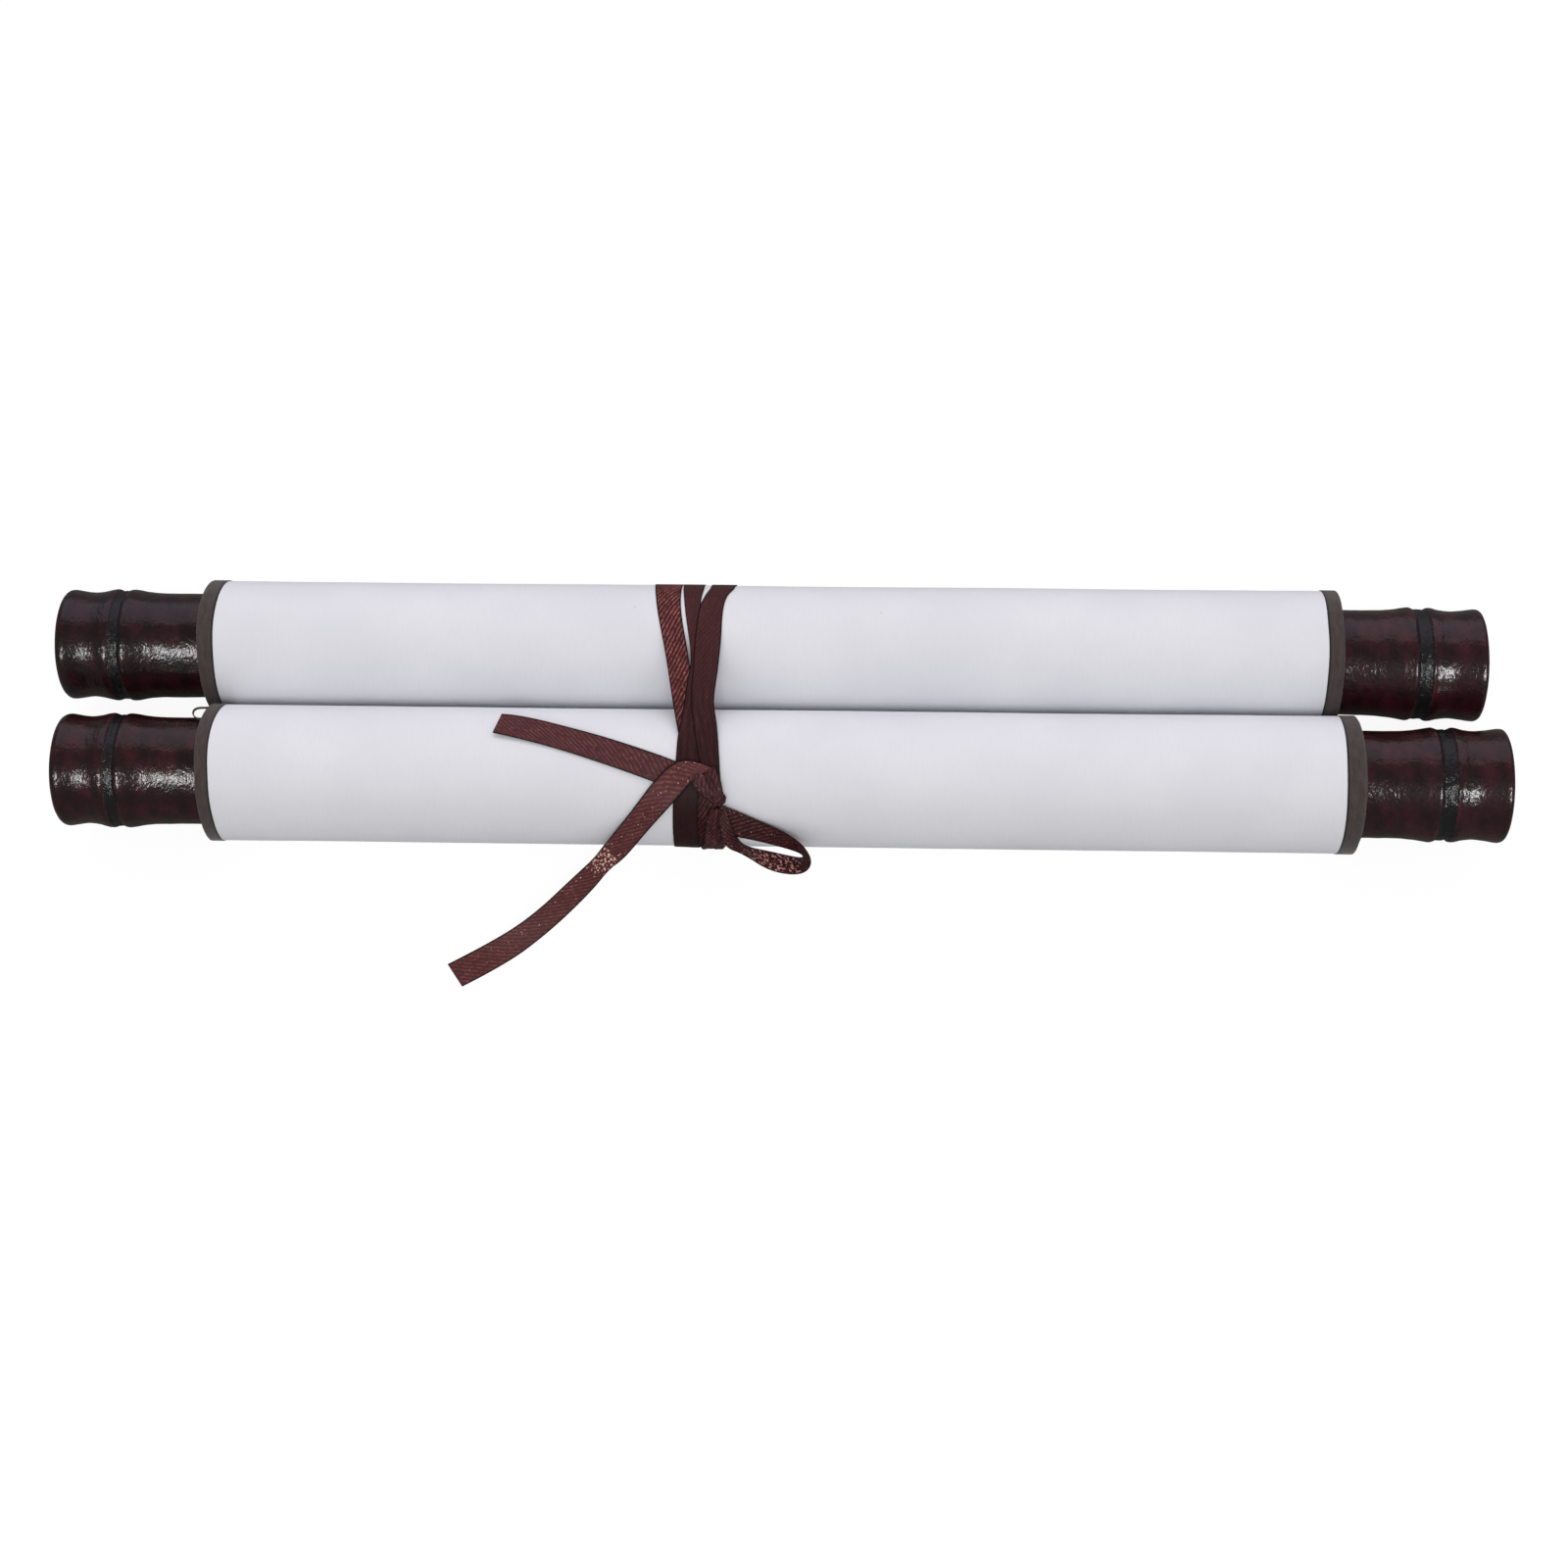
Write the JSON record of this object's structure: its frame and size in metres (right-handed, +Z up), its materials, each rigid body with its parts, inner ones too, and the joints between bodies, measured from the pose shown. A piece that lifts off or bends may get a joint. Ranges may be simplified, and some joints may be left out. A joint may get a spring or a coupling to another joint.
{
  "type": "paper scroll",
  "caption": "Blank paper scroll wound from both ends onto two rods with turned, lacquered knobs, tied up with a satin ribbon in a half bow.",
  "frame": {"origin": "on the surface that the scroll lies on, under the middle of the two rods with their knobs", "axes": "+X along the rolls, +Z up, -Y towards the side that the bow hangs over"},
  "size_m": [0.381, 0.1068, 0.0371],
  "materials": {
    "paper": "matte",
    "edge_tape": "matte",
    "rod_wood": "matte",
    "lacquered_wood": "gloss",
    "ribbon_satin": "satin"
  },
  "bodies": {
    "root": {"scroll_sheet": "paper", "edge_tapes": "edge_tape", "rod_front": "rod_wood", "rod_back": "rod_wood", "knobs_front": "lacquered_wood", "knobs_back": "lacquered_wood", "ribbon": "ribbon_satin"}
  },
  "joints": []
}
